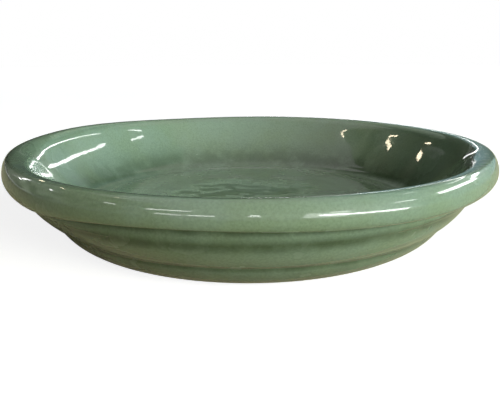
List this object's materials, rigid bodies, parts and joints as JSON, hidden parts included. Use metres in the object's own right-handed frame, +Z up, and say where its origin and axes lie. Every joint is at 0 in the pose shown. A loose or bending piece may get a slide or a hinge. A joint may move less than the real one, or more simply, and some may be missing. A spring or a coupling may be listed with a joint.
{
  "type": "plant saucer",
  "caption": "Round glazed stoneware saucer with a flat floor, flared ridged wall and rolled rim, set under a plant pot to catch water.",
  "frame": {"origin": "centre of the foot, on the ground", "axes": "+Z up along the axis the saucer was turned on; X and Y lie level, and the shape is the same all round"},
  "size_m": [0.26, 0.26, 0.047],
  "materials": {
    "clay": "bare fired stoneware, matt, buff to light brown",
    "glaze": "glossy grey-green celadon with fine iron specks"
  },
  "bodies": {
    "root": {"clay_body": "clay", "glaze_coat": "glaze"}
  },
  "joints": []
}
